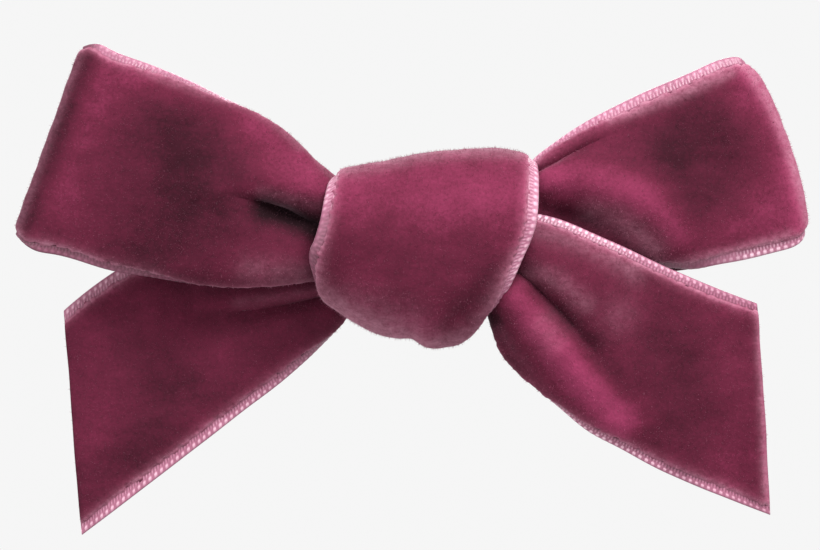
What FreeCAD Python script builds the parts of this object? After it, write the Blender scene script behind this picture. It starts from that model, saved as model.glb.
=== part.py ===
# A velvet ribbon bow tied round the plate of a steel spring clip, the kind worn as a barrette.
#
# Frame, in millimetres: +X along the clip, to the right as the bow is seen; +Z up as it is worn;
# +Y from the bow to the head. The origin is the middle of the plate's hair side. The bow lies at
# negative Y, and the closing arm and its latch at positive Y. The clip is closed and holds no hair.
import FreeCAD
import Part

import math
import os

V = FreeCAD.Vector
ALONG_X, ALONG_Y, ALONG_Z = V(1, 0, 0), V(0, 1, 0), V(0, 0, 1)

# ---- the clip's driving dimensions ----
plate_length = 72.0
plate_width = 8.0
plate_thick = 0.8
plate_radius = 160.0  # of the hair side, which is hollow to fit the head
sew_hole_x = 33.6
sew_hole_r = 0.75

hinge_x = -28.5  # where the hinge lugs stand on the plate
latch_x = 28.0  # where the latch wings stand on the plate
pin_r = 0.75
pin_height = 3.2  # above the plate's hair side
running_gap = 0.05  # between the pin and whatever turns on it
side_gap = 0.1
edge_round = 0.2  # at the corners of the stamped edges
flex_gap = 0.05  # where a springy part is parted from what it bends against

arm_thick = 0.7
arm_middle_y = 8.9  # the arm's inner face at the clip's middle
arm_radius = 450.0
arm_tip_x = 31.4
window_gap = 0.35  # between a latch wing and the arm's window

wing_length = 4.6  # along the clip
wing_height = 11.2  # above the plate's hair side
wing_bend_z = 2.6  # the bend's centre, about which a wing flexes

spring_thick = 0.35
spring_width = 4.4
spring_foot_x = 25.9

# ---- the bow's driving dimensions ----
ribbon_thick = 1.0
knot_front_y = -16.6
plate_clearance = 0.12  # between the knot's band and the plate inside it

top_y = -60.0  # well outside the bow, for cutting prisms
bottom_y = 20.0


def bound(points):
    """A closed flat outline: each item is a point, or a list of points that a smooth curve passes through."""
    edges = []
    ends = [item[-1] if isinstance(item, list) else item for item in points]
    for i, item in enumerate(points):
        start = ends[i - 1]
        if isinstance(item, list):
            curve = Part.BSplineCurve()
            curve.interpolate([start] + item)
            edges.append(curve.toShape())
        elif start.distanceToPoint(item) > 1e-6:
            edges.append(Part.LineSegment(start, item).toShape())
    return Part.Wire(edges)


def prism(outline, direction):
    return Part.Face(outline).extrude(direction)


def front_prism(items):
    """The space behind an outline seen from the front. Points are (x, z)."""
    def place(point):
        return V(point[0], top_y, point[1])
    placed = [[place(p) for p in item] if isinstance(item, list) else place(item) for item in items]
    return prism(bound(placed), ALONG_Y * (bottom_y - top_y))


def box(x, y, z):
    """A box from its three (low, high) pairs."""
    return Part.makeBox(x[1] - x[0], y[1] - y[0], z[1] - z[0], V(x[0], y[0], z[0]))


def face_y(x):
    """The height of the plate's hair side at x."""
    return plate_radius - math.sqrt(plate_radius**2 - x**2)


def stand_on_plate(x):
    """The placement whose own x runs along the plate and whose own y stands up from its hair side."""
    turn = math.degrees(math.asin(x / plate_radius))
    return FreeCAD.Placement(V(x, face_y(x), 0), FreeCAD.Rotation(ALONG_Z, turn))


def placed(shape, x):
    moved = shape.copy()
    moved.Placement = stand_on_plate(x).multiply(moved.Placement)
    return moved


def curved_strip(radius, middle_y, thick, half_width):
    """A strip bent to a radius about Z: its inner face passes through middle_y at x = 0."""
    centre = V(0, middle_y + radius, -half_width)
    outer, inner = sorted((radius, radius + thick), reverse=True)
    ring = Part.makeCylinder(outer, 2 * half_width, centre, ALONG_Z)
    return ring.cut(Part.makeCylinder(inner, 2 * half_width, centre, ALONG_Z))


def stadium(half_length, half_width, y):
    """A long outline with round ends, seen from the front, cut through the whole depth."""
    straight = half_length - half_width
    bar = box((-straight, straight), y, (-half_width, half_width))
    for side in (-1, 1):
        bar = bar.fuse(Part.makeCylinder(half_width, y[1] - y[0], V(side * straight, y[0], 0), ALONG_Y))
    return bar


def soften(sheet, radius):
    """A sheet-metal piece with the corners of all its edges rounded off, as tumbling leaves them."""
    sheet = sheet.removeSplitter()
    return sheet.makeFillet(radius, sheet.Edges)


def channel(length, half_width, thick, height, bend_z, bend_r):
    """A U of sheet metal with bent corners, open upwards, its floor just under y = 0, extruded along x."""
    bend_y = bend_r
    outer_r = bend_r + thick
    side = []
    for s in (-1, 1):
        turn = Part.makeCylinder(outer_r, length, V(-length / 2, bend_y, s * bend_z), ALONG_X)
        turn = turn.cut(Part.makeCylinder(bend_r, length, V(-length / 2, bend_y, s * bend_z), ALONG_X))
        low, high = sorted((s * bend_z, s * (bend_z + outer_r)))
        turn = turn.common(box((-length, length), (bend_y - outer_r, bend_y), (low, high)))
        low, high = sorted((s * (half_width - thick), s * half_width))
        wall = box((-length / 2, length / 2), (bend_y, height), (low, high))
        side.append(turn.fuse(wall).removeSplitter())
    floor = box((-length / 2, length / 2), (-thick, 0), (-bend_z, bend_z))
    return floor, side


# ---- the clip ----

def hinge_lug_outline(length):
    """A lug's outline: a round eye about the pin on a foot that widens to the plate."""
    eye_r = 1.75
    foot = bound([
        V(-length / 2, -3, 0),
        V(length / 2, -3, 0),
        V(length / 2, 0.5, 0),
        V(eye_r, pin_height, 0),
        V(-eye_r, pin_height, 0),
        V(-length / 2, 0.5, 0),
    ])
    foot = prism(foot, ALONG_Z * plate_width * 2)
    eye = Part.makeCylinder(eye_r, plate_width * 2, V(0, pin_height, 0), ALONG_Z)
    return foot.fuse(eye).translated(V(0, 0, -plate_width))


def base_plate():
    """The curved strip with round ends, a sewing hole at each end, two hinge lugs, and notches at the latch."""
    strip = curved_strip(plate_radius, 0, plate_thick, plate_width / 2)
    strip = soften(strip.common(stadium(plate_length / 2, plate_width / 2, (-2, 8))), edge_round)
    bend_r = 0.25
    lug_length = 6.0
    lug_bend_z = plate_width / 2 - plate_thick - bend_r
    floor, sides = channel(lug_length, plate_width / 2, plate_thick, 8, lug_bend_z, bend_r)
    notch = box((-lug_length / 2, lug_length / 2), (-2, 2), (lug_bend_z, plate_width))
    for s in (-1, 1):
        cutter = notch if s > 0 else notch.mirror(V(0, 0, 0), ALONG_Z)
        strip = strip.cut(placed(cutter, hinge_x))
    lugs = Part.makeCompound(sides).common(hinge_lug_outline(lug_length))
    strip = strip.fuse(placed(lugs, hinge_x)).removeSplitter()
    pin_hole = Part.makeCylinder(pin_r, 2 * plate_width, V(0, pin_height, -plate_width), ALONG_Z)
    strip = strip.cut(placed(pin_hole, hinge_x))
    for s in (-1, 1):
        low, high = sorted((s * wing_bend_z, s * plate_width))
        room = 0.25
        notch = box((-wing_length / 2 - room, wing_length / 2 + room), (-2, 2), (low, high))
        strip = strip.cut(placed(notch, latch_x))
        hole = Part.makeCylinder(sew_hole_r, 12, V(0, -6, 0), ALONG_Y)
        strip = strip.cut(placed(hole, s * sew_hole_x))
    return strip


def hinge_pin():
    """A rivet through both lugs, with a low domed head on each end."""
    half = plate_width / 2
    head_r, head_high = 1.25, 0.45
    pin = Part.makeCylinder(pin_r, plate_width, V(0, pin_height, -half), ALONG_Z)
    dome_r = (head_r**2 + head_high**2) / (2 * head_high)
    for s in (-1, 1):
        ball = Part.makeSphere(dome_r, V(0, pin_height, s * (half + head_high - dome_r)))
        low, high = sorted((s * half, s * (half + 2)))
        pin = pin.fuse(ball.common(box((-3, 3), (pin_height - 3, pin_height + 3), (low, high))))
    return placed(pin.removeSplitter(), hinge_x)


def arm_inner_y(x):
    return arm_middle_y + arm_radius - math.sqrt(arm_radius**2 - x**2)


def pin_centre():
    return stand_on_plate(hinge_x).multVec(V(0, pin_height, 0))


def window_centre_x():
    """Where the latch wings, which lean with the plate, pass through the arm."""
    return stand_on_plate(latch_x).multVec(V(0, arm_inner_y(latch_x) - face_y(latch_x), 0)).x


def closing_arm():
    """The arm: a curved strip with two ears on the hinge pin, a raised rib, and a windowed head for the latch."""
    ear_out = plate_width / 2 - plate_thick - side_gap
    ear_thick = 0.6
    waist, head = 2.6, 5.4
    pin = pin_centre()
    start_x = pin.x - 1.6
    window_x = window_centre_x()
    head_x = window_x - wing_length / 2 - 2.6
    outline = front_prism([
        (start_x, -ear_out),
        (pin.x + 3, -ear_out),
        [(pin.x + 7, -waist - 0.1), (pin.x + 12, -waist)],
        (head_x - 8, -waist),
        [(head_x - 5, -waist - 0.15), (head_x - 2, -head + 0.4), (head_x, -head)],
        (arm_tip_x - 2, -head),
        [(arm_tip_x - 0.5, -head + 1.3), (arm_tip_x, 0), (arm_tip_x - 0.5, head - 1.3), (arm_tip_x - 2, head)],
        (head_x, head),
        [(head_x - 2, head - 0.4), (head_x - 5, waist + 0.15), (head_x - 8, waist)],
        (pin.x + 12, waist),
        [(pin.x + 7, waist + 0.1), (pin.x + 3, ear_out)],
        (start_x, ear_out),
    ])
    # The strip's thickness stands outside its inner face, away from the plate.
    strip = curved_strip(arm_radius - arm_thick, arm_middle_y + arm_thick, arm_thick, 8)
    arm = soften(strip.common(outline), edge_round)
    ear_r = 1.6
    top = arm_inner_y(pin.x)
    for s in (-1, 1):
        low, high = sorted((s * (ear_out - ear_thick), s * ear_out))
        eye = Part.makeCylinder(ear_r, high - low, V(pin.x, pin.y, low), ALONG_Z)
        gusset = bound([
            V(pin.x - ear_r, pin.y, low),
            V(start_x, top + arm_thick / 2, low),
            V(pin.x + 5.5, top + arm_thick / 2, low),
            V(pin.x + ear_r, pin.y, low),
        ])
        arm = arm.fuse(eye).fuse(prism(gusset, ALONG_Z * (high - low)))
    arm = arm.removeSplitter()
    arm = arm.cut(Part.makeCylinder(pin_r + running_gap, 20, V(pin.x, pin.y, -10), ALONG_Z))
    half = wing_length / 2 + 0.7
    reach = wing_nose_z() + window_gap
    arm = arm.cut(box((window_x - half, window_x + half), (5, 15), (-reach, reach)))
    rib_high, rib_half = 0.35, 17.0
    rib = curved_strip(arm_radius - arm_thick - rib_high, arm_middle_y + arm_thick + rib_high, rib_high, 1.1)
    rib = rib.common(stadium(rib_half, 1.1, (5, 15)))
    return arm.fuse(rib).removeSplitter()


def wing_nose_z():
    """How far out the catch on a latch wing stands."""
    return wing_bend_z + 0.3 + plate_thick + 0.3


def latch_wing(side):
    """One springy side of the latch: a bend at the plate's edge, a wall, a catch nose and a finger tab."""
    bend_r = 0.3
    outer = wing_bend_z + bend_r + plate_thick
    _, sides = channel(wing_length, outer, plate_thick, wing_height, wing_bend_z, bend_r)
    wing = sides[1].cut(box((-10, 10), (-5, 5), (-10, wing_bend_z + flex_gap)))
    catch_y = arm_inner_y(latch_x) - face_y(latch_x) + arm_thick + 0.45
    nose = bound([
        V(-wing_length / 2 + 0.8, catch_y, outer - 0.2),
        V(-wing_length / 2 + 0.8, catch_y, wing_nose_z()),
        V(-wing_length / 2 + 0.8, catch_y + 0.3, wing_nose_z()),
        V(-wing_length / 2 + 0.8, catch_y + 1.5, outer - 0.2),
    ])
    wing = wing.fuse(prism(nose, ALONG_X * (wing_length - 1.6)))
    # The tab's corners are rounded, as seen from the side.
    corner = 1.3
    half = wing_length / 2
    shape = Part.makeCylinder(corner, 20, V(-half + corner, wing_height - corner, -10), ALONG_Z)
    shape = shape.fuse(Part.makeCylinder(corner, 20, V(half - corner, wing_height - corner, -10), ALONG_Z))
    shape = shape.fuse(box((-half + corner, half - corner), (-3, wing_height), (-10, 10)))
    shape = shape.fuse(box((-half, half), (-3, wing_height - corner), (-10, 10)))
    wing = soften(wing.common(shape), 0.1)
    if side < 0:
        wing = wing.mirror(V(0, 0, 0), ALONG_Z)
    return placed(wing, latch_x)


def spring_crown():
    """The point, midway between the pin and the foot, where the two halves of the spring meet."""
    pin = pin_centre()
    return V((pin.x + spring_foot_x) / 2, 4.35, 0)


def leaf_strip(points, half_width):
    """A strip whose upper face follows the points and whose lower face is the spring's thickness below."""
    low = [p - V(0, spring_thick, 0) for p in points]
    outline = bound([points[0], points[1:], low[-1], low[-2::-1]])
    return prism(outline, ALONG_Z * 2 * half_width).translated(V(0, 0, -half_width))


def tension_bar_hinge_half():
    """The half of the leaf spring that is rolled round the hinge pin."""
    pin, crown = pin_centre(), spring_crown()
    half = spring_width / 2
    bore = pin_r + running_gap
    eye_r = bore + spring_thick
    eye = Part.makeCylinder(eye_r, spring_width, V(pin.x, pin.y, -half), ALONG_Z)
    start = V(pin.x + 0.2, pin.y - eye_r + 0.02, 0)
    points = [start, V(pin.x + 9, 4.55, 0), V(crown.x - 8, 4.38, 0), V(crown.x - flex_gap, crown.y, 0)]
    strip = leaf_strip(points, half)
    strip = strip.fuse(eye).removeSplitter()
    return strip.cut(Part.makeCylinder(bore, 20, V(pin.x, pin.y, -10), ALONG_Z))


def tension_bar_free_half():
    """The half of the leaf spring whose rolled end slides on the plate."""
    crown = spring_crown()
    half = spring_width / 2
    foot_r = 0.5
    foot_y = face_y(spring_foot_x) + foot_r + 0.12
    foot = V(spring_foot_x, foot_y, 0)
    points = [V(crown.x + flex_gap, crown.y, 0), V(crown.x + 9, 4.12, 0), V(crown.x + 18, 3.42, 0), foot + V(0, 0.1, 0)]
    strip = leaf_strip(points, half)
    roll = Part.makeCylinder(foot_r, spring_width, foot - V(0, 0, half), ALONG_Z)
    return strip.fuse(roll).removeSplitter()


# ---- the bow ----

def smooth_ring(points):
    """A smooth closed curve through points."""
    curve = Part.BSplineCurve()
    curve.interpolate(points, PeriodicFlag=True)
    return curve


def ring_wire(points):
    return Part.Wire([smooth_ring(points).toShape()])


def inset(points, distance, across):
    """The points of a smooth ring moved square to it, towards its inside. The ring lies square to across."""
    curve = smooth_ring(points)
    middle = sum(points, V(0, 0, 0)) / len(points)
    moved = []
    for p in points:
        tangent = curve.tangent(curve.parameter(p))[0]
        normal = tangent.cross(across).normalize()
        # The sign is the same all round; the first point decides it.
        if not moved:
            sign = 1 if normal.dot(middle - p) > 0 else -1
        moved.append(p + normal * sign * distance)
    return moved


def loop_band(points, tilt):
    """A folded loop of ribbon before its edges are trimmed: a hollow band that leans up by tilt. Points are (s, y)."""
    outer = [V(s, y, 0) for s, y in points]
    inner = inset(outer, ribbon_thick, ALONG_Z)
    band = prism(ring_wire(outer), ALONG_Z * 80).cut(prism(ring_wire(inner), ALONG_Z * 80))
    return band.translated(V(0, 0, -40)).rotated(V(0, 0, 0), ALONG_Y, -tilt)


def strip_band(points, tilt):
    """A length of ribbon before its edges are trimmed: a wavy sheet that leans by tilt. Points are (s, y)."""
    front = [V(s, y, -40) for s, y in points]
    back = [V(s, y + ribbon_thick, -40) for s, y in points]
    outline = bound([front[0], front[1:], back[-1], back[-2::-1]])
    return prism(outline, ALONG_Z * 80).rotated(V(0, 0, 0), ALONG_Y, -tilt)


# The knot's outline across the clip at its two ends and its middle: x, lowest z, highest z, front y.
knot_sections = [(-14.2, -8.4, 8.2, -14.6), (0.0, -13.3, 11.0, knot_front_y), (15.2, -12.4, 11.6, -15.4)]


def knot_ring(x, low, high, front_y):
    """The knot's section at x: flat behind the plate, round over the gathered ribbon."""
    back_y = face_y(x) + plate_clearance + ribbon_thick
    middle, half = (low + high) / 2, (high - low) / 2
    profile = [
        (back_y - 0.1, 0.0), (back_y - 0.1, 2.9), (back_y - 0.6, 4.6), (-3.6, 0.8 * half), (-8.6, half),
        (-12.4, 0.86 * half), (front_y + 1.2, 0.5 * half), (front_y, 0.0),
    ]
    points = [V(x, y, z) for y, z in profile] + [V(x, y, -z) for y, z in profile[-2:0:-1]]
    # The section drifts from centred on the plate to centred on its own middle towards the front.
    return [p + V(0, 0, middle * min(1, max(0, (back_y - p.y) / 8))) for p in points]


def knot_solid(depth):
    """The knot's whole body, or what is left inside it at a depth under its surface."""
    wires = []
    for x, low, high, front_y in knot_sections:
        ring = knot_ring(x, low, high, front_y)
        wires.append(ring_wire(inset(ring, depth, ALONG_X) if depth else ring))
    return Part.makeLoft(wires, True, False)


def knot_ends():
    """The two selvedges of the ribbon round the knot, as seen from the front."""
    return front_prism([
        (-12.6, -14.5),
        [(-13.6, -6.0), (-13.5, 1.0), (-12.2, 12.5)],
        (14.3, 12.5),
        [(14.6, 4.0), (12.9, -3.6), (9.2, -8.6), (4.6, -14.5)],
    ])


def knot_wrap():
    """The band of ribbon round the middle of the bow and round the plate."""
    band = knot_solid(0).cut(knot_solid(ribbon_thick)).common(knot_ends())
    # The band never bites into the plate's corners, wherever its own curve runs close to them.
    room = 0.08
    return band.cut(curved_strip(plate_radius - room, room, plate_thick + 2 * room, plate_width / 2 + room))


def gathered_middle():
    """The pinched middle of the bow, which fills the knot in front of the plate."""
    core = knot_solid(ribbon_thick + 0.02).common(knot_ends())
    # Everything behind the plate's bow side is cleared, down to a hair in front of it.
    depth, front = 6, -plate_thick - 0.05
    return core.cut(curved_strip(plate_radius - front - depth, front + depth, depth, 20))


def loop_left():
    band = loop_band([
        (9, -5.9), (20, -3.9), (32, -3.1), (43, -3.5), (48.1, -4.7), (49.3, -6.4),
        (48.1, -8.5), (41, -11.6), (32, -13.4), (20, -13.0), (9, -10.1),
    ], 180 - 20)
    outline = front_prism([
        (-10.0, 7.0),
        [(-15.8, 12.7), (-27.2, 18.6), (-41.0, 24.6)],
        (-49.0, 28.0), (-60.0, 4.0),
        (-51.6, -0.4),
        [(-39.9, -4.4), (-29.0, -6.2), (-18.4, -6.1), (-10.0, -4.6)],
    ])
    return band.common(outline)


def loop_right():
    band = loop_band([
        (9, -5.5), (20, -3.5), (32, -2.6), (42, -3.0), (46.4, -4.6), (47.6, -7.2),
        (45.2, -9.9), (38, -11.6), (28, -12.0), (20, -11.5), (9, -9.3),
    ], 16)
    outline = front_prism([
        (10.0, 5.0),
        [(17.7, 12.7), (28.5, 19.2), (40.0, 23.2)],
        (50.0, 26.0), (56.0, -1.0),
        (48.6, 0.0),
        [(42.4, -2.0), (36.0, -3.2), (29.0, -3.0), (20.0, -1.6), (10.0, 0.0)],
    ])
    return band.common(outline)


def tail_left():
    sheet = strip_band([(8, -2.5), (22, -2.5), (34, -2.7), (46, -2.4), (60, -1.4)], 180 + 36)
    outline = front_prism([
        (-9.0, -4.0),
        [(-24.0, -2.4), (-36.0, -3.2), (-45.7, -9.2)],
        (-43.7, -37.3),
        (-11.6, -12.9),
        [(-10.6, -11.2), (-9.0, -8.6)],
    ])
    return sheet.common(outline)


def tail_right():
    sheet = strip_band([(6, -12.9), (18, -13.8), (28, -13.6), (40, -11.2), (50, -8.4), (62, -6.0)], -35)
    outline = front_prism([
        (10.0, 4.4),
        [(19.6, 1.6), (29.0, -2.2), (41.8, -8.0)],
        (43.9, -34.8),
        [(33.0, -30.2), (22.0, -24.8), (12.0, -17.1), (5.0, -8.0)],
    ])
    return sheet.common(outline)


def glue_dabs(loops, plate):
    """A dab of set glue each side of the knot, squeezed between the plate and the back of a loop."""
    dabs = []
    for s in (-1, 1):
        dab = Part.makeSphere(2.4, V(s * 19.0, -1.5, 1.0)).cut(plate)
        for loop in loops:
            dab = dab.cut(loop)
        dabs.append(max(dab.Solids, key=lambda piece: piece.Volume))
    return Part.makeCompound(dabs)


def solid_parts(shape):
    """Only the real solids of a shape, without slivers."""
    keep = [s for s in shape.Solids if abs(s.Volume) > 0.02]
    return keep[0] if len(keep) == 1 else Part.makeCompound(keep)


def main():
    plate = base_plate()
    knot = knot_solid(0).common(knot_ends())
    loops = [loop_left().cut(knot), loop_right().cut(knot)]
    parts = {
        "base_plate": plate,
        "hinge_pin": hinge_pin(),
        "closing_arm": closing_arm(),
        "tension_bar_hinge_half": tension_bar_hinge_half(),
        "tension_bar_free_half": tension_bar_free_half(),
        "latch_wing_upper": latch_wing(1),
        "latch_wing_lower": latch_wing(-1),
        "knot_wrap": knot_wrap(),
        "gathered_middle": gathered_middle(),
        "loop_left": loops[0],
        "loop_right": loops[1],
        "tail_left": tail_left().cut(knot),
        "tail_right": tail_right().cut(knot),
        "glue_dabs": glue_dabs(loops, plate),
    }
    os.makedirs("parts", exist_ok=True)
    for name, shape in parts.items():
        shape = solid_parts(shape)
        b = shape.BoundBox
        print(f"{name}: {len(shape.Solids)} solid, {shape.Volume:.1f} mm3, valid {shape.isValid()},"
              f" x {b.XMin:.1f}..{b.XMax:.1f} y {b.YMin:.1f}..{b.YMax:.1f} z {b.ZMin:.1f}..{b.ZMax:.1f}")
        shape.exportStep(f"parts/{name}.step")


if __name__ == "__main__":
    main()
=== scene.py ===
import bpy
import math
import numpy as np
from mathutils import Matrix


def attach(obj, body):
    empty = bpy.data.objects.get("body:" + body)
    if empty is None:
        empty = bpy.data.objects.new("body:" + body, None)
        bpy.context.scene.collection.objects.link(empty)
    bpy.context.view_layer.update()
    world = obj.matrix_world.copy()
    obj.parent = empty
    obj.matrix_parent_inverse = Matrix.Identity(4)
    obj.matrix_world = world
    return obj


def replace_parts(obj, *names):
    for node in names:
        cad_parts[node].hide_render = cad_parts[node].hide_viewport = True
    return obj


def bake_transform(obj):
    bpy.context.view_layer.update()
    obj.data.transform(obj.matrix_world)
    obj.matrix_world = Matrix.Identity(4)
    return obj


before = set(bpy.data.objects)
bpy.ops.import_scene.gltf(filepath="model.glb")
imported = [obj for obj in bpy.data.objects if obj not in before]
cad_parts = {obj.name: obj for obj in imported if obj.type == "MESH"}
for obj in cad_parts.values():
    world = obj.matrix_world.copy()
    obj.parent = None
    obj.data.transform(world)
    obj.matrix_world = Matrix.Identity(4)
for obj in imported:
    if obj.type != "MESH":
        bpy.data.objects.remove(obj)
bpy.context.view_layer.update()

# Shapes are worked out in millimetres and turned into metres when a mesh is made.
# x runs along the clip, y away from the viewer of the bow, z up. The bow faces -y.
mm = 0.001


view = {"lens": 138.7, "distance": 400.0, "aim": (-1.9, -8.0, -4.4)}
cameraData = bpy.data.cameras.new("front_camera")
cameraData.lens = view["lens"]
cameraData.sensor_width = 36.0
cameraData.clip_start, cameraData.clip_end = 0.01, 20.0
camera = bpy.data.objects.new("front_camera", cameraData)
bpy.context.scene.collection.objects.link(camera)
aimX, aimY, aimZ = view["aim"]
camera.location = (aimX * mm, (aimY - view["distance"]) * mm, aimZ * mm)
camera.rotation_euler = (math.radians(90), 0, 0)
bpy.context.scene.camera = camera
bpy.context.scene.view_settings.view_transform = "Standard"
print("camera placed")


# A smooth line through points: a natural cubic spline, read at u from 0 to 1. Its knots are the
# distances between the points, unless they are given. The points may be rows of any shape.
def smoothLine(points, u, knots=None):
    p = np.asarray(points, float)
    shape = p.shape[1:]
    p = p.reshape(len(p), -1)
    if knots is None:
        knots = np.concatenate([[0], np.cumsum(np.linalg.norm(np.diff(p, axis=0), axis=1))])
        knots = knots / knots[-1]
    h = np.diff(knots)
    slopes = np.diff(p, axis=0) / h[:, None]
    system = np.eye(len(p))
    right = np.zeros_like(p)
    i = np.arange(1, len(p) - 1)
    system[i, i - 1], system[i, i], system[i, i + 1] = h[:-1], 2 * (h[:-1] + h[1:]), h[1:]
    right[1:-1] = 6 * np.diff(slopes, axis=0)
    bend = np.linalg.solve(system, right)
    u = np.clip(u, 0, 1)
    k = np.clip(np.searchsorted(knots, u, side="right") - 1, 0, len(h) - 1)
    a, b, w = (knots[k + 1] - u)[:, None], (u - knots[k])[:, None], h[k][:, None]
    out = (bend[k] * a**3 + bend[k + 1] * b**3) / (6 * w)
    out += (p[k] / w - bend[k] * w / 6) * a + (p[k + 1] / w - bend[k + 1] * w / 6) * b
    return out.reshape((len(u),) + shape)


def smoothStep(x):
    x = np.clip(x, 0, 1)
    return x * x * (3 - 2 * x)


def unit(vectors):
    return vectors / np.maximum(np.linalg.norm(vectors, axis=-1, keepdims=True), 1e-9)


# The normals of a grid of points: along its rows crossed with across them, times side.
def gridNormals(grid, side):
    return unit(np.cross(np.gradient(grid, axis=0), np.gradient(grid, axis=1))) * side


# Soft random hills over a grid: a sum of sine waves in seeded directions, about the given size apart.
def softHills(grid, size, seed, waves=9):
    rng = np.random.default_rng(seed)
    total = np.zeros(grid.shape[:2])
    for _ in range(waves):
        direction = unit(rng.normal(size=3)) * 2 * math.pi / (size * rng.uniform(0.7, 1.5))
        total += np.sin(grid @ direction + rng.uniform(0, 2 * math.pi))
    return total / math.sqrt(waves / 2)


# A sheet lies between rungs. Each rung has a top and a bottom point, how far the cloth crowns between
# them, and through how many degrees its top and bottom edge roll back. A rolled edge is an arc of cloth
# of the length "roll", whose outermost point stays on the rung's line, less the pile that stands on it.
def ladder(rungs, along, across, side):
    table = np.array([[*top, *bottom, *rest] for top, bottom, *rest in rungs], float)
    middle = (table[:, 0:3] + table[:, 3:6]) / 2
    steps = np.linalg.norm(np.diff(middle, axis=0), axis=1)
    knots = np.concatenate([[0], np.cumsum(np.maximum(steps, 1.2))])
    row = smoothLine(table, np.linspace(0, 1, along), knots / knots[-1])
    top, bottom, crown = row[:, None, 0:3], row[:, None, 3:6], row[:, 6, None]
    width = np.linalg.norm(top - bottom, axis=-1)
    length = ribbon["roll"]
    turns = np.radians(np.maximum(row[:, [7, 8]], 2.0))
    radii = length / turns
    sine = np.sin(np.minimum(turns, math.pi / 2))
    reach = radii * sine + ribbon["pile"] * sine
    (turnRadiusT, turnRadiusB), (reachT, reachB) = radii.T[..., None], reach.T[..., None]
    flat = width - reachT - reachB
    cloth = np.linspace(0, 1, across)[None, :] * (flat + 2 * length)
    low, high = np.clip(length - cloth, 0, None), np.clip(cloth - length - flat, 0, None)
    w = reachB + np.clip(cloth - length, 0, flat)
    w = w - turnRadiusB * np.sin(low / turnRadiusB) + turnRadiusT * np.sin(high / turnRadiusT)
    back = turnRadiusB * (1 - np.cos(low / turnRadiusB)) + turnRadiusT * (1 - np.cos(high / turnRadiusT))
    share = (w / width)[..., None]
    plain = bottom + (top - bottom) * np.linspace(0, 1, across)[None, :, None]
    lift = crown[..., None] * (1 - (2 * share - 1) ** 2) - back[..., None]
    return bottom + (top - bottom) * share + gridNormals(plain, side) * lift


# The cloth rises or sinks along a line in the front view: a bell across the line, with one width below it
# and one above, times its strength along it. gather draws the cloth on both sides in towards the line,
# and lip lays the upper side over it.
def crease(grid, normals, line, high, wide, strength=(1, 0), gather=0.0, lip=0.0):
    line = np.asarray(line, float)
    u = np.linspace(0, 1, 70)
    path = smoothLine(line, u)
    across = unit(np.gradient(path, axis=0))[:, ::-1] * (-1, 1)
    across *= np.where(across[:, 1:] < 0, -1, 1)
    gap = grid[..., None, [0, 2]] - path
    k = np.argmin((gap**2).sum(-1), axis=-1)
    offset = np.take_along_axis(gap, k[..., None, None], axis=-2)[..., 0, :]
    distance = np.linalg.norm(offset, axis=-1)
    signed = distance * np.sign((offset * across[k]).sum(-1))
    force = np.interp(smoothStep(u * (len(strength) - 1) % 1) + np.floor(u * (len(strength) - 1)),
                      np.arange(len(strength)), strength)[k]
    below, above = wide if isinstance(wide, tuple) else (wide, wide)
    reach = np.where(signed < 0, below, above)
    bell = np.exp(-((signed / reach) ** 2))
    moved = grid + normals * (high * force * bell)[..., None]
    shift = -signed * gather * force * np.exp(-((signed / (2.2 * reach)) ** 2))
    shift -= lip * force * np.exp(-(((signed - 1.3 * above) / (0.9 * above)) ** 2))
    moved[..., 0] += across[k][..., 0] * shift
    moved[..., 2] += across[k][..., 1] * shift
    return moved


collection = bpy.context.scene.collection


def newObject(name, points, faces, materials, slots=None):
    mesh = bpy.data.meshes.new(name)
    mesh.from_pydata((np.asarray(points).reshape(-1, 3) * mm).tolist(), [], faces)
    mesh.polygons.foreach_set("use_smooth", np.ones(len(mesh.polygons), bool))
    for material in materials:
        mesh.materials.append(material)
    if slots is not None:
        mesh.polygons.foreach_set("material_index", np.asarray(slots, np.int32))
    mesh.update()
    piece = bpy.data.objects.new(name, mesh)
    collection.objects.link(piece)
    return piece


def setMark(piece, label, values):
    attribute = piece.data.attributes.new(label, "FLOAT", "POINT")
    attribute.data.foreach_set("value", np.ravel(values).astype(np.float32))


# The four corners of each cell of a grid whose points are numbered row by row.
def cells(rows, columns, closeRows=False, closeColumns=False):
    i = np.arange(rows if closeRows else rows - 1)[:, None]
    j = np.arange(columns if closeColumns else columns - 1)[None, :]
    i2, j2 = (i + 1) % rows, (j + 1) % columns
    corners = [i * columns + j, i2 * columns + j, i2 * columns + j2, i * columns + j2]
    return np.stack([np.broadcast_to(c, (len(i), j.shape[1])) for c in corners], -1).reshape(-1, 4)


# A closed shell from its outer and inner grid: both faces and a rim all round. The outer face has the
# first material, the inner one the second, and the rim the third.
def shell(name, outer, inner, side, materials, marks):
    rows, columns = outer.shape[:2]
    count = rows * columns
    number = np.arange(count).reshape(rows, columns)
    face = cells(rows, columns)
    border = np.concatenate([number[:-1, 0], number[-1, :-1], number[:0:-1, -1], number[0, :0:-1]])
    after = np.roll(border, -1)
    rim = np.stack([border, after, after + count, border + count], -1)
    front, back = face, face[:, ::-1] + count
    faces = np.concatenate([front, back, rim[:, ::-1]])
    if side < 0:
        faces = faces[:, ::-1]
    slots = np.repeat([0, 1, 2], [len(front), len(back), len(rim)])
    piece = newObject(name, np.stack([outer, inner]), faces.tolist(), materials, slots)
    for label, values in marks.items():
        setMark(piece, label, [values, values])
    return piece


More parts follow.
